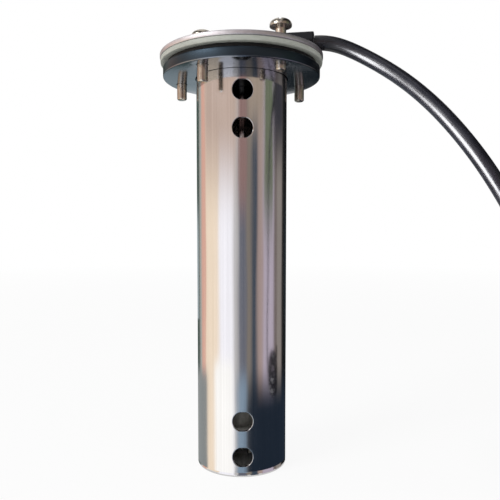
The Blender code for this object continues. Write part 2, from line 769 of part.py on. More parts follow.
def make_stem_guide():
    """Spider on the holder's flange that keeps the stem in the middle of the tube."""
    bottom, top = GUIDE_SEAT, GUIDE_SEAT + GUIDE_THICK
    bore = HOLDER_SOCKET / 2 + CLEAR
    guide = turned("stem_guide", ring_profile(GUIDE_RING / 2, bore, bottom, top), MEDIUM)
    reach_in, reach_out = (GUIDE_RING / 2 + bore) / 2, TUBE_BORE - CLEAR
    for index in range(GUIDE_ARMS):
        angle = math.radians(90.0) + math.tau * index / GUIDE_ARMS
        middle = (reach_in + reach_out) / 2
        arm = block(
            f"guide_arm_{index + 1}",
            (reach_out - reach_in, GUIDE_ARM_WIDTH, GUIDE_THICK - 2 * CLEAR),
            (middle * math.cos(angle), middle * math.sin(angle), (bottom + top) / 2),
            collection=cutters, turn=angle,
        )
        combine(guide, arm, "UNION")
    settle(guide, white_plastic)


# ---- Free lead, coil and connector ----
def coil_radius(turn):
    """The coil spirals in at a steady rate for half its turns, and out again on top."""
    return COIL_INNER + COIL_STEP * abs(turn - COIL_TURNS / 2)


def coil_height(turn):
    """The upper layer starts in the half turn where the spiral reverses."""
    share = min(max((turn - COIL_TURNS / 2) * 2 + 0.5, 0.0), 1.0)
    ease = share * share * (3 - 2 * share)
    return COIL_FLOOR + COIL_STEP * ease


def coil_point(turn):
    angle = math.pi - math.tau * turn
    radius = coil_radius(turn)
    return Vector((
        COIL_CENTRE[0] + radius * math.cos(angle),
        COIL_CENTRE[1] + radius * math.sin(angle),
        coil_height(turn),
    ))


def coil_line():
    """The coil's own points, with an end one diameter long run straight off each end."""
    count = round(COIL_TURNS * COIL_POINTS)
    points = [coil_point(COIL_TURNS * k / count) for k in range(count + 1)]
    first = points[0] - Vector((0.0, LEAD_DIAMETER, 0.0))
    last = points[-1] + Vector((LEAD_DIAMETER, 0.0, 0.0))
    return [first] + points + [last]


def print_least_gap(points):
    """Print how near the coil's turns come to each other."""
    apart = round(COIL_POINTS / 3)
    least = min(
        (a - b).length
        for i, a in enumerate(points)
        for b in points[i + apart:]
    )
    print(f"coil: least gap between turns {1000 * (least - LEAD_DIAMETER):.2f} mm")


def make_lead():
    """The free lead from the gland to the coil, the coil, and the tail to the connector."""
    coil = coil_line()
    print_least_gap(coil)
    ends = [
        gland_point(GLAND_NUT_END + CLEAR + k * LEAD_STRAIGHT, GLAND_AXIS) for k in (-1, 0, 1)
    ]
    run_in = [coil[0] + Vector((0.0, k * LEAD_STRAIGHT - CLEAR, 0.0)) for k in (-1, 0, 1)]
    route = smooth_route((*ends, *LEAD_ROUTE, *run_in), 2 * LEAD_DIAMETER / 3)
    settle(cable("lead_cable", route, LEAD_RADIUS, 2), black_jacket, 60.0)
    settle(cable("cable_coil", coil, LEAD_RADIUS, 1), black_jacket, 80.0)
    tail_start = coil[-1] + Vector((CLEAR, 0.0, 0.0))
    tail = []
    for k in range(13):
        share = k / 12
        ease = share * share * (3 - 2 * share)
        height = tail_start.z + (shell_axis() - tail_start.z) * ease
        tail.append(Vector((tail_start.x + TAIL_LENGTH * share, tail_start.y, height)))
    settle(cable("cable_tail", tail, LEAD_RADIUS, 2), black_jacket, 60.0)


def shell_axis():
    """Height of the connector's axis as it lies on the floor."""
    return SHELL_HEIGHT / 2 + CLEAR


def make_coil_ties():
    """Two flat ties round the bundle of turns, on which the coil lies level."""
    for index, place in enumerate(TIE_PLACES):
        passes = [
            turn for turn in ((math.pi - place) / math.tau % 1.0 + k for k in range(8))
            if turn <= COIL_TURNS
        ]
        radii = [coil_radius(turn) for turn in passes]
        half_width = (max(radii) - min(radii)) / 2 + LEAD_RADIUS + TIE_SLACK
        half_height = COIL_STEP / 2 + LEAD_RADIUS + CLEAR
        middle = (max(radii) + min(radii)) / 2
        loop = []
        for corner in range(4):
            sx, sz = ((1, 1), (-1, 1), (-1, -1), (1, -1))[corner]
            for k in range(4):
                angle = math.radians(90.0 * corner + 30.0 * k)
                loop.append((
                    sx * (half_width - TIE_CORNER) + TIE_CORNER * math.cos(angle),
                    sz * (half_height - TIE_CORNER) + TIE_CORNER * math.sin(angle),
                ))
        mesh = bpy.data.meshes.new("tie")
        bm = bmesh.new()
        sides = [
            [bm.verts.new((x, side * TIE_WIDTH / 2, z)) for x, z in loop] for side in (-1, 1)
        ]
        for k in range(len(loop)):
            after = (k + 1) % len(loop)
            bm.faces.new((sides[0][k], sides[0][after], sides[1][after], sides[1][k]))
        bmesh.ops.recalc_face_normals(bm, faces=bm.faces)
        turn = Matrix.Rotation(place, 4, "Z")
        centre = Vector((
            COIL_CENTRE[0] + middle * math.cos(place), COIL_CENTRE[1] + middle * math.sin(place),
            COIL_FLOOR + COIL_STEP / 2,
        ))
        bmesh.ops.transform(bm, matrix=Matrix.Translation(centre) @ turn, verts=bm.verts)
        bm.to_mesh(mesh)
        bm.free()
        tie = new_object(f"coil_tie_{index + 1}", mesh)
        wall = tie.modifiers.new("Wall", "SOLIDIFY")
        wall.thickness = TIE_THICK
        wall.offset = 1.0
        settle(tie, tie_nylon)


def make_connector():
    """Plug shell lying on the floor, its pin insert, and the rubber seal at its back."""
    tail_end = coil_line()[-1] + Vector((CLEAR + TAIL_LENGTH, 0.0, 0.0))
    axis = shell_axis()
    back = tail_end.x + CLEAR
    y = tail_end.y
    seal_end = back + BACK_SEAL_LENGTH
    seal = rod(
        "connector_seal", BACK_SEAL_DIAMETER / 2, (back, y, axis), (seal_end, y, axis), MEDIUM
    )
    settle(seal, black_rubber)
    shell_start = seal_end + CLEAR
    shell_end = shell_start + SHELL_LENGTH
    shell = block(
        "connector_shell", (SHELL_LENGTH, SHELL_WIDTH, SHELL_HEIGHT),
        ((shell_start + shell_end) / 2, y, axis), SHELL_EDGE,
    )
    mouth_start = shell_start + SHELL_BACK
    mouth = block(
        "shell_mouth",
        (SHELL_LENGTH, SHELL_WIDTH - 2 * SHELL_WALL, SHELL_HEIGHT - 2 * SHELL_WALL),
        (mouth_start + SHELL_LENGTH / 2, y, axis), collection=cutters,
    )
    combine(shell, mouth)
    settle(shell, black_plastic)
    fit = 2 * (SHELL_WALL + CLEAR)
    insert_start = mouth_start + CLEAR
    insert = block(
        "pin_insert", (INSERT_THICK, SHELL_WIDTH - fit, SHELL_HEIGHT - fit),
        (insert_start + INSERT_THICK / 2, y, axis),
    )
    for index in range(4):
        side, level = (index % 2) * 2 - 1, (index // 2) * 2 - 1
        pin = block(
            f"pin_{index + 1}", (PIN_LENGTH, PIN_SIZE, PIN_SIZE),
            (
                insert_start + INSERT_THICK / 2 + PIN_LENGTH / 2,
                y + side * PIN_PITCH / 2,
                axis + level * PIN_PITCH / 2,
            ),
            collection=cutters,
        )
        combine(insert, pin, "UNION")
    settle(insert, white_plastic)


clear_scene()
parts = new_collection("water_quality_probe")
cutters = new_collection("cutters")
polished_steel = new_material("polished_steel", (0.62, 0.59, 0.57), 0.16, 1.0)
bright_steel = new_material("bright_steel", (0.66, 0.62, 0.54), 0.28, 1.0)
dark_metal = new_material("dark_metal", (0.06, 0.07, 0.085), 0.22, 0.6)
pale_rubber = new_material("pale_rubber", (0.66, 0.70, 0.62), 0.6)
black_rubber = new_material("black_rubber", (0.02, 0.02, 0.022), 0.6)
black_plastic = new_material("black_plastic", (0.02, 0.021, 0.025), 0.4)
black_jacket = new_material("black_jacket", (0.016, 0.016, 0.018), 0.35)
core_colour = new_material("core_colour", (0.45, 0.06, 0.04), 0.5)
white_plastic = new_material("white_plastic", (0.72, 0.71, 0.67), 0.45)
resin = new_material("resin", (0.05, 0.045, 0.04), 0.3)
float_foam = new_material("float_foam", (0.05, 0.05, 0.055), 0.8)
magnet_grey = new_material("magnet_grey", (0.12, 0.12, 0.13), 0.5, 0.8)
board_green = new_material("board_green", (0.04, 0.22, 0.10), 0.5)
reed_glass = new_material("reed_glass", (0.45, 0.62, 0.52), 0.1)
tie_nylon = new_material("tie_nylon", (0.03, 0.03, 0.032), 0.5)

make_top_plate()
make_gaskets()
make_clamp_ring()
make_screws()
make_guard_tube()
make_gland_body()
make_gland_nut()
make_gland_seal()
make_lock_nut()
make_lead_entry()
make_header()
make_stem()
make_stops()
make_float()
make_level_board()
make_electrode_holder()
make_stem_guide()
make_lead()
make_coil_ties()
make_connector()
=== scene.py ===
"""Looks of a flanged water quality probe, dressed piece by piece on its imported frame."""

import math

import bmesh
import bpy
from mathutils import Matrix, Vector


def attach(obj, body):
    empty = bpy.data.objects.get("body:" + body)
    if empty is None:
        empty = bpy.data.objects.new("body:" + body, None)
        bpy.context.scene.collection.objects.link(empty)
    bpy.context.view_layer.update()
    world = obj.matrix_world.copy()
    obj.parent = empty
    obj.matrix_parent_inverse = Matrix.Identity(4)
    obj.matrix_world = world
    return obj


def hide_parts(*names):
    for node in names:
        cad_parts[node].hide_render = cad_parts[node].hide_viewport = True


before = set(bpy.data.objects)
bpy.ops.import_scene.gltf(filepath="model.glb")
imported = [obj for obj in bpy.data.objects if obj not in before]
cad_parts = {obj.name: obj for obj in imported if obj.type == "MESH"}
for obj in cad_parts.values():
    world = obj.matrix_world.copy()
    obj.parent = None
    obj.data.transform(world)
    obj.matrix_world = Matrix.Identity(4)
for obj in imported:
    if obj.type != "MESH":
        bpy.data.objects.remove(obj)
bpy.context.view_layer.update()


# ---- Camera ----
# Stands 246 mm in front of the tube's axis, level with the tube's upper half, looking
# slightly down. The lens and the small shift are those of the photograph's framing.
CAMERA_STAND = (0.0, -0.2465, 0.0995)
CAMERA_PITCH, CAMERA_YAW = -3.66, 0.66  # degrees
PICTURE_SIDE = 500.0  # pixels, as the next two are
FOCUS = 570.3
SIGHT = (248.3, 270.0)  # where the camera's own axis meets the picture
SENSOR_WIDTH = 36.0


def place_camera():
    camera = bpy.data.objects.new("camera", bpy.data.cameras.new("camera"))
    bpy.context.scene.collection.objects.link(camera)
    camera.location = CAMERA_STAND
    camera.rotation_euler = (math.radians(90.0 + CAMERA_PITCH), 0.0, math.radians(-CAMERA_YAW))
    camera.data.sensor_width = SENSOR_WIDTH
    camera.data.lens = SENSOR_WIDTH * FOCUS / PICTURE_SIDE
    camera.data.shift_x = 0.5 - SIGHT[0] / PICTURE_SIDE
    camera.data.shift_y = SIGHT[1] / PICTURE_SIDE - 0.5
    camera.data.clip_start = 0.01
    bpy.context.scene.camera = camera


place_camera()


# ---- Free lead and its coil ----
# A round lead in a smooth black jacket. It leaves the gland level, falls in an arc and
# lies down beside the probe; the rest of it is wound up in two layers, clear of the view.
LEAD_DIAMETER = 0.0060
GLAND_TURN = math.radians(-10.0)
GLAND_AXIS = 0.1781
GLAND_NUT_END = 0.0304
SEAT = 0.0003  # gap that touching pieces keep
LEAD_STRAIGHT = 0.0040
LEAD_PARTS = 14  # from one point of the route to the next
LEAD_ROUTE = (
    (0.0413, -0.0070, 0.1766),
    (0.0519, -0.0099, 0.1706),
    (0.0607, -0.0167, 0.1628),
    (0.0677, -0.0242, 0.1544),
    (0.0742, -0.0309, 0.1453),
    (0.0803, -0.0363, 0.1357),
    (0.0862, -0.0405, 0.1258),
    (0.0917, -0.0437, 0.1155),
    (0.0968, -0.0463, 0.1050),
    (0.1014, -0.0487, 0.0941),
    (0.1054, -0.0510, 0.0828),
    (0.1089, -0.0534, 0.0710),
    (0.1117, -0.0559, 0.0586),
    (0.1140, -0.0579, 0.0457),
    (0.1158, -0.0583, 0.0323),
    (0.1172, -0.0549, 0.0196),
    (0.1180, -0.0472, 0.0101),
    (0.1184, -0.0378, 0.0054),
)
COIL_CENTRE = (0.1600, -0.0200)
COIL_MEAN_RADIUS = 0.0330
COIL_TURNS = 5.25
COIL_STEP = 0.0065  # from one turn to the next, and from layer to layer
COIL_FLOOR = 0.0044
TURN_PARTS = 144
TAIL_LENGTH = 0.0225
TAIL_PARTS = 24
SHELL_AXIS = 0.0071
FAINT_MARK, STRONG_MARK = 0.3, 0.7


def surface_marks():
    """Node group: small marks stretched along any axis, as a value from 0 to 1."""
    group = bpy.data.node_groups.new("surface_marks", "ShaderNodeTree")
    face = group.interface
    face.new_socket("Place", in_out="INPUT", socket_type="NodeSocketVector")
    face.new_socket("Spread", in_out="INPUT", socket_type="NodeSocketVector")
    face.new_socket("Fineness", in_out="INPUT", socket_type="NodeSocketFloat")
    face.new_socket("Patches", in_out="INPUT", socket_type="NodeSocketFloat")
    face.new_socket("Mark", in_out="OUTPUT", socket_type="NodeSocketFloat")
    nodes, links = group.nodes, group.links
    entry, leave = nodes.new("NodeGroupInput"), nodes.new("NodeGroupOutput")
    stretch = nodes.new("ShaderNodeVectorMath")
    stretch.operation = "MULTIPLY"
    links.new(entry.outputs["Place"], stretch.inputs[0])
    links.new(entry.outputs["Spread"], stretch.inputs[1])
    grain = nodes.new("ShaderNodeTexNoise")
    grain.inputs["Scale"].default_value = 1.0
    links.new(stretch.outputs["Vector"], grain.inputs["Vector"])
    links.new(entry.outputs["Fineness"], grain.inputs["Detail"])
    patch = nodes.new("ShaderNodeTexNoise")
    patch.inputs["Scale"].default_value = 70.0
    patch.inputs["Detail"].default_value = 3.0
    links.new(entry.outputs["Place"], patch.inputs["Vector"])
    blend = nodes.new("ShaderNodeMix")
    links.new(entry.outputs["Patches"], blend.inputs["Factor"])
    links.new(grain.outputs["Fac"], blend.inputs["A"])
    links.new(patch.outputs["Fac"], blend.inputs["B"])
    links.new(blend.outputs["Result"], leave.inputs["Mark"])
    return group


marks_group = surface_marks()


def finish(name, tones, gloss, spread, fineness=4.0, patches=0.35, relief=0.1, depth=0.00005,
           metal=0.0, specular=0.5):
    """A material whose colour, roughness and relief all follow the same small marks."""
    material = bpy.data.materials.new(name)
    material.use_nodes = True
    nodes, links = material.node_tree.nodes, material.node_tree.links
    shader = nodes["Principled BSDF"]
    shader.inputs["Metallic"].default_value = metal
    shader.inputs["Specular IOR Level"].default_value = specular
    place = nodes.new("ShaderNodeTexCoord")
    marks = nodes.new("ShaderNodeGroup")
    marks.node_tree = marks_group
    marks.name = "marks"
    marks.inputs["Spread"].default_value = spread
    marks.inputs["Fineness"].default_value = fineness
    marks.inputs["Patches"].default_value = patches
    links.new(place.outputs["Object"], marks.inputs["Place"])
    tone = nodes.new("ShaderNodeValToRGB")
    tone.name = "tone"
    for stop, position, colour in zip(
        tone.color_ramp.elements, (FAINT_MARK, STRONG_MARK), tones
    ):
        stop.position = position
        stop.color = (*colour, 1.0)
    links.new(marks.outputs["Mark"], tone.inputs["Fac"])
    links.new(tone.outputs["Color"], shader.inputs["Base Color"])
    rough = nodes.new("ShaderNodeMapRange")
    rough.name = "rough"
    rough.inputs["From Min"].default_value = FAINT_MARK
    rough.inputs["From Max"].default_value = STRONG_MARK
    rough.inputs["To Min"].default_value = gloss[0]
    rough.inputs["To Max"].default_value = gloss[1]
    links.new(marks.outputs["Mark"], rough.inputs["Value"])
    links.new(rough.outputs["Result"], shader.inputs["Roughness"])
    bump = nodes.new("ShaderNodeBump")
    bump.name = "relief"
    bump.inputs["Strength"].default_value = relief
    bump.inputs["Distance"].default_value = depth
    links.new(marks.outputs["Mark"], bump.inputs["Height"])
    links.new(bump.outputs["Normal"], shader.inputs["Normal"])
    return material


def gland_point(reach):
    """A point on the line along which the lead leaves the gland."""
    return Vector((reach * math.cos(GLAND_TURN), reach * math.sin(GLAND_TURN), GLAND_AXIS))


def eased(share):
    return share * share * (3 - 2 * share)


def coil_point(turn):
    """The lower layer winds inwards, climbs within half a turn, and the upper winds outwards."""
    past_middle = turn - COIL_TURNS / 2
    radius = COIL_MEAN_RADIUS - COIL_STEP * COIL_TURNS / 4 + COIL_STEP * abs(past_middle)
    climb = eased(min(max(past_middle * 2 + 0.5, 0.0), 1.0))
    angle = math.pi - math.tau * turn
    return Vector((
        COIL_CENTRE[0] + radius * math.cos(angle),
        COIL_CENTRE[1] + radius * math.sin(angle),
        COIL_FLOOR + COIL_STEP * climb,
    ))


def steered_line(points, parts):
    """Points along the even-bending curve that the given ones steer."""
    line = []
    for a, b, c, d in zip(points, points[1:], points[2:], points[3:]):
        for k in range(parts):
            t = k / parts
            line.append(
                ((1 - t) ** 3 * a + (3 * t ** 3 - 6 * t * t + 4) * b
                 + (-3 * t ** 3 + 3 * t * t + 3 * t + 1) * c + t ** 3 * d) / 6
            )
    line.append((points[-3] + 4 * points[-2] + points[-1]) / 6)
    return line


def tube_curve(name, points, diameter, material):
    curve = bpy.data.curves.new(name, "CURVE")
    curve.dimensions = "3D"
    curve.bevel_depth = diameter / 2
    curve.bevel_resolution = 8
    curve.use_fill_caps = True
    curve.twist_mode = "MINIMUM"
    spline = curve.splines.new("POLY")
    spline.points.add(len(points) - 1)
    for knot, point in zip(spline.points, points):
        knot.co = (*point, 1.0)
    spline.use_smooth = True
    curve.materials.append(material)
    obj = bpy.data.objects.new(name, curve)
    bpy.context.scene.collection.objects.link(obj)
    return obj


black_jacket = finish(
    "black_jacket", ((0.004, 0.004, 0.006), (0.008, 0.008, 0.011)), (0.25, 0.31),
    (160.0, 160.0, 160.0), fineness=1.0, relief=0.02, specular=0.4,
)
coil_parts = round(COIL_TURNS * TURN_PARTS)
coil_line = [coil_point(COIL_TURNS * k / coil_parts) for k in range(coil_parts + 1)]
coil_line.insert(0, coil_line[0] - Vector((0.0, LEAD_DIAMETER, 0.0)))
coil_line.append(coil_line[-1] + Vector((LEAD_DIAMETER, 0.0, 0.0)))
lead_line = steered_line(
    [gland_point(GLAND_NUT_END + SEAT + k * LEAD_STRAIGHT) for k in (-1, 0, 1)]
    + [Vector(point) for point in LEAD_ROUTE]
    + [coil_line[0] + Vector((0.0, k * LEAD_STRAIGHT - SEAT, 0.0)) for k in (-1, 0, 1)],
    LEAD_PARTS,
)
tail_start = coil_line[-1]
tail_line = []
for k in range(1, TAIL_PARTS + 1):
    share = k / TAIL_PARTS
    drop = (SHELL_AXIS - tail_start.z) * eased(share)
    tail_line.append(tail_start + Vector((SEAT + TAIL_LENGTH * share, 0.0, drop)))
whole_lead = lead_line + coil_line + tail_line
lead = tube_curve("lead", whole_lead, LEAD_DIAMETER, black_jacket)
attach(lead, "probe")
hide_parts("lead_cable", "cable_coil", "cable_tail")


# ---- Guard tube ----
# Drawn stainless tube, polished lengthwise, open at its lower end. A pair of flow holes is
# punched near each end on the front, and their rims are broken by hand.
TUBE_RADIUS = 0.01915
TUBE_WALL = 0.0012
TUBE_TOP = 0.1716
TUBE_LIP = 0.0002
TUBE_FACETS = 192
FLOW_HOLE_RADIUS = 0.0041
FLOW_HOLE_TURN = math.radians(1.2)
FLOW_HOLES = (0.0083, 0.0231, 0.1412, 0.1560)
HOLE_RIM = 0.00030
PATCH_REACH = 8  # cells from a hole's centre to the side of its patch
PATCH_HEIGHT = 0.8  # of a patch's cell, in its own widths
PLAIN_ROWS = [0.032 + 0.0072 * k for k in range(15)]  # heights between the pairs of holes


def mesh_from(bm, name):
    mesh = bpy.data.meshes.new(name)
    bm.to_mesh(mesh)
    bm.free()
    return mesh


def link_mesh(name, mesh, material):
    mesh.materials.append(material)
    obj = bpy.data.objects.new(name, mesh)
    bpy.context.scene.collection.objects.link(obj)
    return obj


def guard_tube_mesh():
    """The tube wall as one sheet of even cells, with a round patch round each flow hole."""
    facet = math.tau / TUBE_FACETS
    cell = TUBE_RADIUS * facet
    reach = PATCH_REACH
    inner_radius = TUBE_RADIUS - TUBE_WALL
    bm = bmesh.new()
    found = {}

    def on_wall(radius, angle, height):
        key = (radius, round(angle / facet * 8) % (TUBE_FACETS * 8), round(height * 1e6))
        if key not in found:
            a = angle + FLOW_HOLE_TURN
            found[key] = bm.verts.new((radius * math.sin(a), -radius * math.cos(a), height))
        return found[key]

    def on_rim(depth, width, outside, middle, turn):
        """A point of a flow hole's rim, that deep in the wall and that far past the hole."""
        away = FLOW_HOLE_RADIUS + width
        radius = TUBE_RADIUS - depth
        x, z = away * math.cos(turn), away * math.sin(turn)
        a = math.asin(x / radius) + FLOW_HOLE_TURN
        key = (outside, middle, round(depth * 1e7), round(width * 1e7), round(turn * 1e4))
        if key not in found:
            found[key] = bm.verts.new((radius * math.sin(a), -radius * math.cos(a), middle + z))
        return found[key]

    def strip(first, second, outward):
        """Faces between two closed rows of points, seen from outside or from inside."""
        for k, point in enumerate(first):
            after = (k + 1) % len(first)
            quad = (point, first[after], second[after], second[k])
            bm.faces.new(quad if outward else quad[::-1])

    heights = [TUBE_LIP, TUBE_TOP - TUBE_LIP, *PLAIN_ROWS]
    for middle in FLOW_HOLES:
        heights += [middle + cell * k * PATCH_HEIGHT for k in range(-reach, reach + 1)]
    heights.sort()
    for radius, outside in ((TUBE_RADIUS, True), (inner_radius, False)):
        for low, high in zip(heights, heights[1:]):
            for k in range(TUBE_FACETS):
                column = k - TUBE_FACETS if k >= TUBE_FACETS // 2 else k
                if -reach <= column < reach and any(
                    abs((low + high) / 2 - middle) < cell * reach * PATCH_HEIGHT
                    for middle in FLOW_HOLES
                ):
                    continue
                left, right = column * facet, (column + 1) * facet
                ring = [
                    on_wall(radius, left, low), on_wall(radius, right, low),
                    on_wall(radius, right, high), on_wall(radius, left, high),
                ]
                bm.faces.new(ring if outside else ring[::-1])
    square = []
    for k in range(8 * reach):
        leg, step = divmod(k, 2 * reach)
        walk = step - reach
        square.append(((reach, walk), (-walk, reach), (-reach, -walk), (walk, -reach))[leg])
    edge = [(TUBE_RADIUS * math.sin(c * facet), r * PATCH_HEIGHT * cell) for c, r in square]
    turns = [math.atan2(z, x) for x, z in edge]
    for middle in FLOW_HOLES:
        throats = []
        for radius, outside in ((TUBE_RADIUS, True), (inner_radius, False)):
            rows = [
                [on_wall(radius, c * facet, middle + cell * r * PATCH_HEIGHT) for c, r in square]
            ]
            for share in (0.5, 0.2, 0.0):
                rows.append([
                    on_rim(
                        0.0 if outside else TUBE_WALL,
                        HOLE_RIM + (math.hypot(x, z) - FLOW_HOLE_RADIUS - HOLE_RIM) * share,
                        outside, middle, turn,
                    )
                    for (x, z), turn in zip(edge, turns)
                ])
            for k in range(1, 5):
                curl = math.radians(22.5 * k)
                depth = HOLE_RIM * (1 - math.cos(curl))
                width = HOLE_RIM * (1 - math.sin(curl))
                depth = depth if outside else TUBE_WALL - depth
                rows.append([on_rim(depth, width, outside, middle, turn) for turn in turns])
            for wide, tight in zip(rows, rows[1:]):
                strip(wide, tight, outside)
            throats.append(rows[-1])
        strip(*throats, True)
    for end, lip in ((heights[0], 0.0), (heights[-1], TUBE_TOP)):
        loops = [
            [on_wall(radius, k * facet, height) for k in range(TUBE_FACETS)]
            for radius, height in (
                (TUBE_RADIUS, end), (TUBE_RADIUS - TUBE_LIP, lip),
                (inner_radius + TUBE_LIP, lip), (inner_radius, end),
            )
        ]
        for a, b in zip(loops, loops[1:]):
            for k in range(TUBE_FACETS):
                after = (k + 1) % TUBE_FACETS
                quad = (a[k], b[k], b[after], a[after])
                bm.faces.new(quad if lip == 0.0 else quad[::-1])
    bmesh.ops.recalc_face_normals(bm, faces=bm.faces)
    mesh = mesh_from(bm, "guard_tube_wall")
    mesh.shade_smooth()
    mesh.set_sharp_from_angle(angle=math.radians(40.0))
    return mesh


def drawn_steel():
    """Polished steel whose wall is not quite true, so that what it mirrors sways a little."""
    material = finish(
        "polished_steel", ((0.56, 0.55, 0.545), (0.63, 0.62, 0.62)), (0.09, 0.16),
        (2600.0, 2600.0, 9.0), fineness=3.0, patches=0.2, depth=0.00002, metal=1.0,
    )
    nodes, links = material.node_tree.nodes, material.node_tree.links
    nodes["Principled BSDF"].inputs["Anisotropic"].default_value = 0.85
    place = nodes.new("ShaderNodeTexCoord")
    stretch = nodes.new("ShaderNodeVectorMath")
    stretch.operation = "MULTIPLY"
    stretch.inputs[1].default_value = (150.0, 150.0, 14.0)
    links.new(place.outputs["Object"], stretch.inputs[0])
    swell = nodes.new("ShaderNodeTexNoise")
    swell.inputs["Scale"].default_value = 1.0
    swell.inputs["Detail"].default_value = 1.0
    links.new(stretch.outputs["Vector"], swell.inputs["Vector"])
    sway = nodes.new("ShaderNodeBump")
    sway.inputs["Distance"].default_value = 0.00020
    links.new(swell.outputs["Fac"], sway.inputs["Height"])
    links.new(sway.outputs["Normal"], nodes["relief"].inputs["Normal"])
    return material


polished_steel = drawn_steel()
guard_tube = link_mesh("guard_tube_wall", guard_tube_mesh(), polished_steel)
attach(guard_tube, "probe")
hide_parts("guard_tube")


# ---- Clamp ring ----
# Turned steel ring under the gaskets. Its rim is given a darker, duller colour than its ground
# underside, which still mirrors the tube and the screws that come through it.
RING_RADIUS = 0.03295
RING_BORE = 0.01955
RING_BOTTOM = 0.1643
RING_TOP = 0.1683
RING_EDGE = 0.0005
DISC_FACETS = 192
DARK_RIM_STARTS, DARK_RIM_WHOLE = 0.00030, 0.00070  # above the ring's underside
RIM_COLOUR = (0.033, 0.047, 0.062, 1.0)
RIM_ROUGHNESS = 0.36
BOLT_RADIUS = 0.0270
SCREW_ANGLES = (-105.5, -33.8, 33.8, 110.0, 182.5)
SCREW_HOLE_RADIUS = 0.0024
DRILL_PAST = 0.001  # how far a drill stands out on either side
DRILL_FACETS = 40


def screw_place(index):
    angle = math.radians(SCREW_ANGLES[index])
    return Vector((BOLT_RADIUS * math.sin(angle), -BOLT_RADIUS * math.cos(angle), 0.0))


def turned(name, profile, facets, material, closed=True):
    """A body turned about Z from (radius, height) points that run down its outer side."""
    bm = bmesh.new()
    loops = []
    for radius, height in profile:
        if radius < 1e-6:
            loops.append([bm.verts.new((0.0, 0.0, height))] * facets)
        else:
            loops.append([
                bm.verts.new((
                    radius * math.sin(math.tau * k / facets),
                    -radius * math.cos(math.tau * k / facets), height,
                ))
                for k in range(facets)
            ])
    pairs = list(zip(loops, loops[1:]))
    if closed:
        pairs.append((loops[-1], loops[0]))
    for upper, lower in pairs:
        for k in range(facets):
            after = (k + 1) % facets
            ring = []
            for vert in (upper[k], upper[after], lower[after], lower[k]):
                if vert not in ring:
                    ring.append(vert)
            if len(ring) > 2:
                bm.faces.new(ring)
    bmesh.ops.recalc_face_normals(bm, faces=bm.faces)
    return link_mesh(name, mesh_from(bm, name), material)


def rounded(outer, inner, bottom, top, edge, bulge=0.0):
    """The section of a flat ring with rounded outer edges and, where asked, a bulged rim."""
    section = []
    for k in range(5):
        a = math.radians(22.5 * k)
        section.append((outer - edge * (1 - math.sin(a)), top - edge * (1 - math.cos(a))))
    if bulge:
        section += [
            (outer + bulge * math.sin(math.pi * k / 6),
             top - edge - (top - bottom - 2 * edge) * k / 6)
            for k in range(1, 6)
        ]
    for k in range(5):
        a = math.radians(22.5 * k)
        section.append((outer - edge * (1 - math.cos(a)), bottom + edge * (1 - math.sin(a))))
    return section + [(inner, bottom), (inner, top)]


def smooth(obj, angle=32.0):
    obj.data.shade_smooth()
    obj.data.set_sharp_from_angle(angle=math.radians(angle))
    return obj


def cut(obj, tools):
    """Take the tools out of a piece, one after another, and shade it smooth again."""
    for tool in tools:
        boolean = obj.modifiers.new(tool.name, "BOOLEAN")
        boolean.operation = "DIFFERENCE"
        boolean.object = tool
        boolean.solver = "EXACT"
    bpy.context.view_layer.update()
    graph = bpy.context.evaluated_depsgraph_get()
    mesh = bpy.data.meshes.new_from_object(obj.evaluated_get(graph))
    obj.modifiers.clear()
    obj.data = mesh
    for tool in tools:
        bpy.data.objects.remove(tool, do_unlink=True)
    smooth(obj)


def screw_drills(bottom, top, material):
    """Tools that drill the five screw holes through a disc."""
    above, below = top + DRILL_PAST, bottom - DRILL_PAST
    tools = []
    for index in range(len(SCREW_ANGLES)):
        tool = turned(
            f"drill_{index + 1}",
            [(0.0, above), (SCREW_HOLE_RADIUS, above), (SCREW_HOLE_RADIUS, below), (0.0, below)],
            DRILL_FACETS, material, closed=False,
        )
        tool.data.transform(Matrix.Translation(screw_place(index)))
        tools.append(tool)
    return tools


def ring_steel():
    """Ground steel that turns darker and duller on the rim, above the underside."""
    material = finish(
        "dark_metal", ((0.19, 0.21, 0.245), (0.24, 0.26, 0.30)), (0.11, 0.20),
        (900.0, 900.0, 900.0), relief=0.06, depth=0.00003, metal=1.0,
    )
    nodes, links = material.node_tree.nodes, material.node_tree.links
    shader, tone = nodes["Principled BSDF"], nodes["tone"]
    place = nodes.new("ShaderNodeTexCoord")
    axes = nodes.new("ShaderNodeSeparateXYZ")
    links.new(place.outputs["Object"], axes.inputs["Vector"])
    level = nodes.new("ShaderNodeMath")
    level.operation = "MULTIPLY_ADD"
    level.inputs[1].default_value = 0.0003
    links.new(nodes["marks"].outputs["Mark"], level.inputs[0])
    links.new(axes.outputs["Z"], level.inputs[2])
    # From just above the underside up, the rim gets a darker colour and a higher roughness.
    dark_rim = nodes.new("ShaderNodeMapRange")
    dark_rim.inputs["From Min"].default_value = RING_BOTTOM + DARK_RIM_STARTS
    dark_rim.inputs["From Max"].default_value = RING_BOTTOM + DARK_RIM_WHOLE
    links.new(level.outputs["Value"], dark_rim.inputs["Value"])
    rim_tone = nodes.new("ShaderNodeMix")
    rim_tone.data_type = "RGBA"
    rim_tone.inputs["B"].default_value = RIM_COLOUR
    links.new(dark_rim.outputs["Result"], rim_tone.inputs["Factor"])
    links.new(tone.outputs["Color"], rim_tone.inputs["A"])
    links.new(rim_tone.outputs["Result"], shader.inputs["Base Color"])
    dull = nodes.new("ShaderNodeMix")
    dull.inputs["B"].default_value = RIM_ROUGHNESS
    links.new(dark_rim.outputs["Result"], dull.inputs["Factor"])
    links.new(nodes["rough"].outputs["Result"], dull.inputs["A"])
    links.new(dull.outputs["Result"], shader.inputs["Roughness"])
    return material


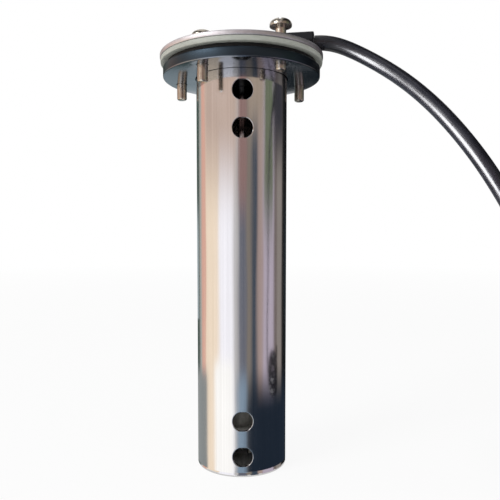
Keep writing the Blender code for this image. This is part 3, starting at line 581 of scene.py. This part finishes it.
dark_metal = ring_steel()
clamp_ring = turned(
    "lower_clamp_ring", rounded(RING_RADIUS, RING_BORE, RING_BOTTOM, RING_TOP, RING_EDGE),
    DISC_FACETS, dark_metal,
)
cut(clamp_ring, screw_drills(RING_BOTTOM, RING_TOP, dark_metal))
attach(clamp_ring, "probe")
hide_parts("clamp_ring")


# ---- Gaskets ----
# A thin black rubber ring lies on the clamp ring, and a thicker pale one under the plate.
# Both are cut from sheet; the screws squeeze the pale one so that its rim stands out.
BLACK_RADIUS = 0.03155
BLACK_BOTTOM, BLACK_TOP = 0.16835, 0.16985
BLACK_EDGE = 0.00015
BLACK_FACETS = 160
PALE_RADIUS = 0.0339
PALE_BOTTOM, PALE_TOP = 0.16990, 0.17185
PALE_EDGE = 0.0003
PALE_BULGE = 0.0001
GASKET_BORE = TUBE_RADIUS + SEAT

black_rubber = finish(
    "black_rubber", ((0.004, 0.004, 0.005), (0.010, 0.010, 0.011)), (0.55, 0.72),
    (700.0, 700.0, 700.0), relief=0.25, specular=0.3,
)
pale_rubber = finish(
    "pale_rubber", ((0.33, 0.345, 0.30), (0.45, 0.465, 0.42)), (0.42, 0.60),
    (500.0, 500.0, 900.0), patches=0.6, relief=0.22, depth=0.00008,
)
black_gasket = turned(
    "thin_black_gasket",
    rounded(BLACK_RADIUS, GASKET_BORE, BLACK_BOTTOM, BLACK_TOP, BLACK_EDGE),
    BLACK_FACETS, black_rubber,
)
cut(black_gasket, screw_drills(BLACK_BOTTOM, BLACK_TOP, black_rubber))
pale_gasket = turned(
    "pale_sheet_gasket",
    rounded(PALE_RADIUS, GASKET_BORE, PALE_BOTTOM, PALE_TOP, PALE_EDGE, PALE_BULGE),
    DISC_FACETS, pale_rubber,
)
cut(pale_gasket, screw_drills(PALE_BOTTOM, PALE_TOP, pale_rubber))
for piece, slot, node in (
    (black_gasket, "black_rubber", "black_gasket"), (pale_gasket, "pale_rubber", "pale_gasket"),
):
    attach(piece, "probe")
    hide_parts(node)


# ---- Top plate ----
# Turned stainless disc. Its faces show the fine circles of the lathe, its rim is dull from
# handling, and a stub hole in the middle takes the gland.
PLATE_RADIUS = 0.0342
PLATE_BOTTOM, PLATE_TOP = 0.1719, 0.1737
PLATE_EDGE = 0.0004
STUB_HOLE = 0.0050


def turned_face_steel():
    """Steel with the fine circles that a lathe tool leaves round the plate's centre."""
    material = finish(
        "plate_steel", ((0.51, 0.495, 0.52), (0.60, 0.585, 0.61)), (0.40, 0.52),
        (700.0, 700.0, 700.0), relief=0.05, depth=0.00003, metal=1.0,
    )
    nodes, links = material.node_tree.nodes, material.node_tree.links
    place = nodes.new("ShaderNodeTexCoord")
    flat = nodes.new("ShaderNodeVectorMath")
    flat.operation = "MULTIPLY"
    flat.inputs[1].default_value = (1.0, 1.0, 0.0)
    links.new(place.outputs["Object"], flat.inputs[0])
    reach = nodes.new("ShaderNodeVectorMath")
    reach.operation = "LENGTH"
    links.new(flat.outputs["Vector"], reach.inputs[0])
    pack = nodes.new("ShaderNodeCombineXYZ")
    links.new(reach.outputs["Value"], pack.inputs["X"])
    circles = nodes.new("ShaderNodeTexNoise")
    circles.inputs["Scale"].default_value = 5200.0
    circles.inputs["Detail"].default_value = 2.0
    links.new(pack.outputs["Vector"], circles.inputs["Vector"])
    both = nodes.new("ShaderNodeMath")
    both.operation = "ADD"
    links.new(circles.outputs["Fac"], both.inputs[0])
    links.new(nodes["marks"].outputs["Mark"], both.inputs[1])
    links.new(both.outputs["Value"], nodes["relief"].inputs["Height"])
    return material


plate_steel = turned_face_steel()
top_plate = turned(
    "turned_top_plate",
    rounded(PLATE_RADIUS, STUB_HOLE, PLATE_BOTTOM, PLATE_TOP, PLATE_EDGE),
    DISC_FACETS, plate_steel,
)
cut(top_plate, screw_drills(PLATE_BOTTOM, PLATE_TOP, plate_steel))
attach(top_plate, "probe")
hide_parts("top_plate")


# ---- Flange screws ----
# Five slotted round-head screws of bright turned steel, their ends rounded. Four are drawn
# down on the plate; the near right one stands proud and moves on its own.
SCREW_SHANK = 0.0021
SCREW_LENGTH = 0.0165
SCREW_POINT = 0.0008
SCREW_HEAD = 0.0043
SCREW_HEAD_HEIGHT = 0.0032
HEAD_SIDE = 0.3  # share of the head's height that stands upright under the dome
HEAD_EDGE = 0.00015
SCREW_FACETS = 72
SLOT_SAW = (0.0100, 0.0012, 0.0028)
SLOT_TURN = 0.7  # of each screw's slot past the one before it
LOOSE_SCREW = 2
LOOSE_RISE = 0.0045

screw_steel = finish(
    "screw_steel", ((0.34, 0.30, 0.25), (0.52, 0.48, 0.42)), (0.14, 0.28),
    (1500.0, 1500.0, 500.0), patches=0.5, relief=0.08, metal=1.0,
)


def slotted_screw(name, index, rise):
    """A screw of its own: domed head, sawn slot, shank with a rounded end."""
    head = [
        (SCREW_HEAD * math.sin(math.radians(9.0 * k)),
         SCREW_HEAD_HEIGHT * (HEAD_SIDE + (1 - HEAD_SIDE) * math.cos(math.radians(9.0 * k))))
        for k in range(11)
    ]
    tip = [
        (SCREW_SHANK - SCREW_POINT * (1 - math.cos(a)),
         -SCREW_LENGTH + SCREW_POINT * (1 - math.sin(a)))
        for a in (math.radians(15.0 * k) for k in range(7))
    ]
    profile = head + [
        (SCREW_HEAD, HEAD_EDGE), (SCREW_HEAD - HEAD_EDGE, 0.0), (SCREW_SHANK, 0.0), *tip,
        (0.0, -SCREW_LENGTH),
    ]
    screw = turned(name, profile, SCREW_FACETS, screw_steel, closed=False)
    bm = bmesh.new()
    bmesh.ops.create_cube(bm, size=1.0)
    bmesh.ops.scale(bm, vec=SLOT_SAW, verts=bm.verts)
    bmesh.ops.translate(bm, vec=(0.0, 0.0, SCREW_HEAD_HEIGHT), verts=bm.verts)
    cut(screw, [link_mesh("slot_saw", mesh_from(bm, "slot_saw"), screw_steel)])
    place = Matrix.Translation(screw_place(index) + Vector((0.0, 0.0, PLATE_TOP + SEAT + rise)))
    screw.data.transform(place @ Matrix.Rotation(SLOT_TURN * index, 4, "Z"))
    return screw


for index in range(len(SCREW_ANGLES)):
    loose = index == LOOSE_SCREW
    node = "loose_screw" if loose else f"flange_screw_{index + 1}"
    screw = slotted_screw(f"slotted_screw_{index + 1}", index, LOOSE_RISE if loose else 0.0)
    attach(screw, "raised_screw" if loose else "probe")
    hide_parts(node)


# ---- Gland ----
# Black moulded elbow in the middle of the plate, with a hex nut that presses a rubber bush
# round the lead. A thin lock nut inside the flange holds it down.
NUT_FLATS = 0.0082
NUT_CORNER = 0.985 * NUT_FLATS / math.sqrt(3)  # a little inside the sharp corner
NUT_CORNER_SPAN = 9.6  # degrees that a rounded corner takes up
NUT_END_SHARE = 0.95  # of the nut's width, left at its ends by their bevels
NUT_START = 0.0188
NUT_MOUTH = 0.0033
NUT_BACK_EDGE, NUT_FRONT_EDGE = 0.0003, 0.0004

black_plastic = finish(
    "black_plastic", ((0.004, 0.004, 0.006), (0.009, 0.009, 0.012)), (0.30, 0.44),
    (1800.0, 1800.0, 1800.0), relief=0.15, depth=0.00004, specular=0.15,
)


def gland_nut_mesh():
    """Hex nut along X with rounded corners and its mouth broken towards the lead."""
    outline = []
    for side in range(6):
        for k in range(7):
            lean = math.radians(60.0 * side + NUT_CORNER_SPAN * (k / 6 - 0.5))
            outline.append((NUT_CORNER * math.cos(lean), NUT_CORNER * math.sin(lean)))
    bm = bmesh.new()
    front = GLAND_NUT_END - NUT_FRONT_EDGE
    rows = [
        [bm.verts.new((x, y * grow, z * grow)) for y, z in outline]
        for x, grow in (
            (NUT_START, NUT_END_SHARE), (NUT_START + NUT_BACK_EDGE, 1.0), (front, 1.0),
            (GLAND_NUT_END, NUT_END_SHARE),
        )
    ]
    for x, radius in (
        (GLAND_NUT_END, NUT_MOUTH + NUT_FRONT_EDGE), (front, NUT_MOUTH), (NUT_START, NUT_MOUTH),
    ):
        rows.append([
            bm.verts.new((x, radius * y / NUT_CORNER, radius * z / NUT_CORNER))
            for y, z in outline
        ])
    rows.append(rows[0])
    for a, b in zip(rows, rows[1:]):
        for k in range(len(outline)):
            after = (k + 1) % len(outline)
            bm.faces.new((a[k], a[after], b[after], b[k]))
    bmesh.ops.recalc_face_normals(bm, faces=bm.faces)
    mesh = mesh_from(bm, "gland_hex_nut")
    mesh.transform(
        Matrix.Translation((0.0, 0.0, GLAND_AXIS)) @ Matrix.Rotation(GLAND_TURN, 4, "Z")
    )
    return mesh


gland_nut = smooth(link_mesh("gland_hex_nut", gland_nut_mesh(), black_plastic), 20.0)
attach(gland_nut, "probe")
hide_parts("gland_nut")

core_colour = finish(
    "core_insulation", ((0.38, 0.05, 0.035), (0.50, 0.08, 0.05)), (0.35, 0.5),
    (300.0, 300.0, 300.0),
)


def dress(material, *nodes):
    """Give CAD pieces that keep their own shape a finished material."""
    for node in nodes:
        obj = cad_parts[node]
        if not obj.data.materials:
            obj.data.materials.append(material)
        for slot in obj.material_slots:
            slot.material = material


dress(black_plastic, "gland_body")
dress(black_rubber, "gland_seal")
dress(screw_steel, "gland_lock_nut")
dress(black_jacket, "lead_entry")
dress(core_colour, "core_bundle")


# ---- Header ----
# A black moulded cup hangs under the plate inside the tube. Dark resin poured into it holds
# the top of the stem and seals the cores.
resin = finish(
    "resin", ((0.035, 0.030, 0.026), (0.065, 0.058, 0.050)), (0.18, 0.34), (160.0, 160.0, 160.0),
)
dress(black_plastic, "header_cup")
dress(resin, "potting")


# ---- Stem and stops ----
# A thin closed stainless tube on the axis guides the float. White acetal collars, pressed on
# near its ends, stop the float; a turned plug closes its foot.
white_plastic = finish(
    "white_plastic", ((0.60, 0.59, 0.54), (0.72, 0.71, 0.67)), (0.32, 0.48),
    (600.0, 600.0, 1400.0), relief=0.12,
)
dress(polished_steel, "stem_tube")
dress(screw_steel, "stem_plug")
dress(white_plastic, "upper_stop", "lower_stop")


# ---- Float ----
# Closed-cell nitrile foam, moulded with a bore that slides on the stem. A sintered ring
# magnet lies in its top, held by a black cap.
def foam():
    """Dull foam whose relief is that of small burst cells."""
    material = finish(
        "float_foam", ((0.030, 0.030, 0.034), (0.060, 0.060, 0.066)), (0.70, 0.90),
        (900.0, 900.0, 900.0), fineness=2.0, patches=0.3, relief=0.5, depth=0.00015,
    )
    nodes, links = material.node_tree.nodes, material.node_tree.links
    cells = nodes.new("ShaderNodeTexVoronoi")
    cells.inputs["Scale"].default_value = 2200.0
    place = nodes.new("ShaderNodeTexCoord")
    links.new(place.outputs["Object"], cells.inputs["Vector"])
    links.new(cells.outputs["Distance"], nodes["relief"].inputs["Height"])
    return material


float_foam = foam()
magnet_grey = finish(
    "magnet", ((0.09, 0.09, 0.10), (0.15, 0.15, 0.16)), (0.45, 0.6), (1200.0, 1200.0, 1200.0),
    relief=0.25, metal=0.8,
)
dress(float_foam, "float_body")
dress(magnet_grey, "float_magnet")
dress(black_plastic, "float_cap")


# ---- Level board ----
# A lacquered strip of circuit board slides into the stem. Five glass reed switches on it
# close one after another as the float's magnet passes.
circuit_board = finish(
    "circuit_board", ((0.025, 0.16, 0.07), (0.05, 0.26, 0.12)), (0.22, 0.4),
    (1500.0, 1500.0, 1500.0), relief=0.2,
)
reed_glass = finish(
    "reed_glass", ((0.40, 0.56, 0.46), (0.50, 0.68, 0.58)), (0.04, 0.12), (400.0, 400.0, 200.0),
    relief=0.03,
)
dress(circuit_board, "reed_board")
dress(reed_glass, *[f"reed_switch_{k}" for k in range(1, 6)])


# ---- Foot of the stem ----
# A turned white holder carries two steel electrodes and a temperature bulb. A moulded spider
# on its flange keeps the stem in the middle of the tube.
electrode_steel = finish(
    "electrode_steel", ((0.58, 0.57, 0.54), (0.70, 0.69, 0.67)), (0.18, 0.32),
    (1200.0, 1200.0, 200.0), metal=1.0,
)
dress(white_plastic, "electrode_holder", "stem_guide")
dress(electrode_steel, "electrode_1", "electrode_2", "temperature_bulb")


# ---- Ties and connector ----
# Two flat black nylon ties hold the coil. The lead ends in a moulded four-way plug with a
# rubber seal at its back and its pins set in a white insert.
tie_nylon = finish(
    "tie_nylon", ((0.020, 0.020, 0.022), (0.040, 0.040, 0.042)), (0.42, 0.55),
    (900.0, 900.0, 900.0), fineness=1.0, relief=0.04,
)
dress(tie_nylon, "coil_tie_1", "coil_tie_2")
dress(black_rubber, "connector_seal")
dress(black_plastic, "connector_shell")
dress(white_plastic, "pin_insert")


# ---- Floor ----
# A wide floor of plain off-white paper. To the camera, and in glass and metal, it looks nearly
# white and passes into the white room; it keeps the probe's soft shadow.
NEAR_WHITE = 0.90
WHITENS_FROM, WHITE_AT = 0.4, 1.6


def paper_floor():
    """Paper whose lit look starts at the guard tube's wall and is whole far from the probe."""
    material = bpy.data.materials.new("pale_floor")
    material.use_nodes = True
    nodes, links = material.node_tree.nodes, material.node_tree.links
    shader = nodes["Principled BSDF"]
    shader.inputs["Specular IOR Level"].default_value = 0.0
    shader.inputs["Roughness"].default_value = 0.9
    place = nodes.new("ShaderNodeTexCoord")
    fibre = nodes.new("ShaderNodeTexNoise")
    fibre.inputs["Scale"].default_value = 900.0
    links.new(place.outputs["Object"], fibre.inputs["Vector"])
    tone = nodes.new("ShaderNodeMapRange")
    tone.inputs["To Min"].default_value = 0.84
    tone.inputs["To Max"].default_value = 0.88
    links.new(fibre.outputs["Fac"], tone.inputs["Value"])
    links.new(tone.outputs["Result"], shader.inputs["Base Color"])
    white = nodes.new("ShaderNodeEmission")
    ray = nodes.new("ShaderNodeLightPath")
    share = ray.outputs["Is Camera Ray"]
    for kind in ("Is Glossy Ray", "Is Transmission Ray"):
        either = nodes.new("ShaderNodeMath")
        either.operation = "MAXIMUM"
        links.new(ray.outputs[kind], either.inputs[0])
        links.new(share, either.inputs[1])
        share = either.outputs["Value"]
    reach = nodes.new("ShaderNodeVectorMath")
    reach.operation = "LENGTH"
    links.new(place.outputs["Object"], reach.inputs[0])
    outside = nodes.new("ShaderNodeMapRange")
    outside.inputs["From Min"].default_value = TUBE_RADIUS - TUBE_WALL
    outside.inputs["From Max"].default_value = TUBE_RADIUS
    links.new(reach.outputs["Value"], outside.inputs["Value"])
    away = nodes.new("ShaderNodeMapRange")
    away.inputs["From Min"].default_value = WHITENS_FROM
    away.inputs["From Max"].default_value = WHITE_AT
    away.inputs["To Min"].default_value = NEAR_WHITE
    links.new(reach.outputs["Value"], away.inputs["Value"])
    for limit in (outside, away):
        part = nodes.new("ShaderNodeMath")
        part.operation = "MULTIPLY"
        links.new(share, part.inputs[0])
        links.new(limit.outputs["Result"], part.inputs[1])
        share = part.outputs["Value"]
    both = nodes.new("ShaderNodeMixShader")
    links.new(share, both.inputs["Fac"])
    links.new(shader.outputs["BSDF"], both.inputs[1])
    links.new(white.outputs["Emission"], both.inputs[2])
    links.new(both.outputs["Shader"], nodes["Material Output"].inputs["Surface"])
    return material


def floor_mesh(half):
    bm = bmesh.new()
    bm.faces.new([
        bm.verts.new((x * half, y * half, 0.0)) for x, y in ((-1, -1), (1, -1), (1, 1), (-1, 1))
    ])
    return mesh_from(bm, "pale_floor")


link_mesh("pale_floor", floor_mesh(30.0), paper_floor())


# ---- Studio light ----
# A soft white room, a large lamp above on the left and a weaker one on the right. Plain
# cards stand round the probe for polished metal to mirror; nothing else sees them.
MIRROR_TURN = 2.07  # a mirrored direction's turn, for each degree round the tube's wall
CARD_STRENGTH = 1.4
CARD_REACH, UPPER_REACH = 0.50, 0.42
CARD_TOP = 0.38
CARD_GAP = 0.01  # by which every other column stands nearer
FOOT_NEAR = 0.0006
FOOT_LIFT, CLOTH_LIFT, SHEET_STEP = 0.0004, 0.0010, 0.0003
LAP = 3.0  # degrees by which each column reaches past its neighbour
FLAG_CORNER = (0.02, -0.55, 0.42)
FLAG_SIZE = (0.75, 0.85)


def lamp(name, stand, aim, size, power):
    light = bpy.data.lights.new(name, "AREA")
    light.shape = "DISK"
    light.size = size
    light.energy = power
    obj = bpy.data.objects.new(name, light)
    bpy.context.scene.collection.objects.link(obj)
    obj.location = stand
    obj.rotation_euler = (Vector(aim) - Vector(stand)).to_track_quat("-Z", "Y").to_euler()
    return obj


lamp("key_lamp", (-1.3, -0.9, 1.0), (0.0, 0.0, 0.1), 0.9, 18.0)
lamp("fill_lamp", (1.1, -0.9, 0.8), (0.0, 0.0, 0.1), 0.8, 2.0)


def white_room():
    """A white room that lights dull surfaces with about half its brightness."""
    world = bpy.data.worlds.new("studio")
    world.use_nodes = True
    nodes, links = world.node_tree.nodes, world.node_tree.links
    ray = nodes.new("ShaderNodeLightPath")
    room = nodes.new("ShaderNodeMapRange")
    room.inputs["To Min"].default_value = 1.0
    room.inputs["To Max"].default_value = 0.55
    links.new(ray.outputs["Is Diffuse Ray"], room.inputs["Value"])
    links.new(room.outputs["Result"], nodes["Background"].inputs["Strength"])
    nodes["Background"].inputs["Color"].default_value = (1.0, 1.0, 1.0, 1.0)
    return world


bpy.context.scene.world = white_room()
bpy.context.scene.view_settings.view_transform = "Standard"


def card_paper(name, colour):
    """Lit paper whose edges fade away with the mesh's own fade value."""
    material = bpy.data.materials.new(name)
    material.use_nodes = True
    nodes, links = material.node_tree.nodes, material.node_tree.links
    nodes.remove(nodes["Principled BSDF"])
    paper = nodes.new("ShaderNodeEmission")
    paper.inputs["Color"].default_value = (*colour, 1.0)
    paper.inputs["Strength"].default_value = CARD_STRENGTH
    clear = nodes.new("ShaderNodeBsdfTransparent")
    fade = nodes.new("ShaderNodeAttribute")
    fade.attribute_name = "fade"
    both = nodes.new("ShaderNodeMixShader")
    links.new(fade.outputs["Fac"], both.inputs["Fac"])
    links.new(clear.outputs["BSDF"], both.inputs[1])
    links.new(paper.outputs["Emission"], both.inputs[2])
    links.new(both.outputs["Shader"], nodes["Material Output"].inputs["Surface"])
    return material


def card(name, colour, place, soft):
    """A card that only polished surfaces see; place(u, v) gives its points. The three soft
    margins are those of its sides, its lower or near edge, and its upper or far edge."""
    across, along = 20, 12
    bm = bmesh.new()
    fade = bm.verts.layers.float.new("fade")
    grid = []
    for i in range(across + 1):
        column = []
        for j in range(along + 1):
            u, v = i / across, j / along
            vert = bm.verts.new(place(u, v))
            share = 1.0
            for t, margin in zip((min(u, 1 - u), v, 1 - v), soft):
                if margin:
                    share *= min(1.0, t / margin)
            vert[fade] = eased(share)
            column.append(vert)
        grid.append(column)
    for a, b in zip(grid, grid[1:]):
        for j in range(along):
            bm.faces.new((a[j], b[j], b[j + 1], a[j + 1]))
    obj = link_mesh(name, mesh_from(bm, name), card_paper(name, colour))
    obj.visible_camera = False
    obj.visible_diffuse = False
    obj.visible_shadow = False
    obj.visible_transmission = False


def mirrored_from(turn, reach):
    """The place that the tube's wall mirrors to the camera in a direction, that far off."""
    a, b = math.radians(turn), math.radians(turn) / MIRROR_TURN
    return (
        TUBE_RADIUS * math.sin(b) + reach * math.sin(a),
        -TUBE_RADIUS * math.cos(b) - reach * math.cos(a),
    )


def around(turn, reach, rise):
    """Places on an upright card that curves round the probe between two directions."""
    def place(u, v):
        side = mirrored_from(turn[0] + (turn[1] - turn[0]) * u, reach)
        return *side, rise[0] + (rise[1] - rise[0]) * v
    return place


def on_floor(turn, span, height):
    """Places on a wedge of card that lies on the floor, near to far."""
    def place(u, v):
        reach = span[0] + (span[1] - span[0]) * v
        return *mirrored_from(turn[0] + (turn[1] - turn[0]) * u, reach), height
    return place


# Each column's name, colour, and the two directions between which it stands, in degrees from
# the front towards the right.
columns = (
    ("green_grey", (0.05, 0.08, 0.07), -170.0, -137.0),
    ("grey_green", (0.40, 0.43, 0.40), -137.0, -124.0),
    ("salmon", (0.76, 0.43, 0.34), -124.0, -106.0),
    ("cream", (1.00, 0.84, 0.66), -106.0, -61.0),
    ("white", (1.06, 1.06, 1.13), -61.0, -20.0),
    ("grey", (0.56, 0.55, 0.55), -20.0, -9.0),
    ("slate", (0.14, 0.15, 0.19), -9.0, 11.0),
    ("khaki", (0.24, 0.21, 0.18), 11.0, 25.0),
    ("navy", (0.05, 0.07, 0.10), 25.0, 41.0),
    ("tan", (0.42, 0.32, 0.29), 41.0, 55.0),
    ("lilac", (0.50, 0.44, 0.53), 55.0, 90.0),
    ("brown", (0.16, 0.13, 0.12), 90.0, 100.0),
    ("beige", (0.28, 0.25, 0.23), 100.0, 124.0),
    ("black", (0.006, 0.007, 0.008), 124.0, 168.0),
)
for index, (name, colour, start, end) in enumerate(columns):
    turn = (start - LAP, end + LAP)
    nearer = index % 2
    soft = (2 * LAP / (turn[1] - turn[0]) * nearer, 0.0, 0.0)
    reach = CARD_REACH - CARD_GAP * nearer
    lift = FOOT_LIFT + SHEET_STEP * nearer
    card(f"{name}_card", colour, around(turn, reach, (0.0, CARD_TOP)), soft)
    card(f"{name}_foot", colour, on_floor(turn, (FOOT_NEAR, reach), lift), soft)
for name, colour, turn, rise, soft in (
    ("dusky_upper_card", (0.58, 0.45, 0.38), (-112.0, -8.0), (0.10, 0.34), (0.10, 0.55, 0.1)),
    ("mauve_upper_card", (0.29, 0.18, 0.17), (-11.0, 14.0), (0.10, 0.36), (0.15, 0.22, 0.0)),
    ("tan_upper_card", (0.38, 0.31, 0.25), (12.0, 58.0), (0.19, 0.38), (0.12, 0.35, 0.0)),
    ("green_upper_card", (0.14, 0.17, 0.11), (56.0, 88.0), (0.06, 0.38), (0.15, 0.35, 0.0)),
    ("dark_upper_card", (0.04, 0.04, 0.05), (86.0, 126.0), (0.15, 0.38), (0.10, 0.35, 0.0)),
    ("low_grey_card", (0.30, 0.36, 0.38), (-185.0, -140.0), (0.0, 0.15), (0.15, 0.0, 0.35)),
    ("low_dark_card", (0.012, 0.018, 0.022), (140.0, 183.0), (0.0, 0.15), (0.05, 0.0, 0.35)),
    ("high_dark_card", (0.03, 0.03, 0.035), (-125.0, 0.0), (0.37, 1.10), (0.08, 0.05, 0.1)),
):
    card(name, colour, around(turn, UPPER_REACH, rise), soft)
for index, (name, colour, turn, span, soft) in enumerate((
    ("grey_cloth", (0.27, 0.29, 0.29), (-168.0, -96.0), (FOOT_NEAR, 0.20), (0.12, 0.0, 0.3)),
    ("white_cloth", (1.15, 1.15, 1.13), (-80.0, -16.0), (FOOT_NEAR, 0.24), (0.2, 0.0, 0.3)),
    ("blue_cloth", (0.24, 0.33, 0.43), (-20.0, 22.0), (FOOT_NEAR, 0.20), (0.35, 0.0, 0.4)),
    ("navy_cloth", (0.014, 0.022, 0.036), (2.0, 166.0), (FOOT_NEAR, 0.20), (0.12, 0.0, 0.6)),
    ("back_cloth", (0.02, 0.03, 0.035), (150.0, 182.0), (0.18, 0.40), (0.15, 0.3, 0.0)),
)):
    card(name, colour, on_floor(turn, span, CLOTH_LIFT + SHEET_STEP * index), soft)


# A lamp of its own, which lights nothing else, draws the bright streak along the black lead,
# and a dark card over the lead keeps the room off its upper side.
def over_lead(u, v):
    return FLAG_CORNER[0] + FLAG_SIZE[0] * u, FLAG_CORNER[1] + FLAG_SIZE[1] * v, FLAG_CORNER[2]


lead_lamp = lamp("lead_lamp", (-0.24, -0.16, 0.10), (0.075, -0.03, 0.15), 0.26, 6.5)
lead_lamp.data.color = (0.96, 0.97, 1.0)
streaked = bpy.data.collections.new("streaked")
streaked.objects.link(lead)
lead_lamp.light_linking.receiver_collection = streaked
card("lead_flag", (0.02, 0.02, 0.022), over_lead, (0.1, 0.1, 0.1))
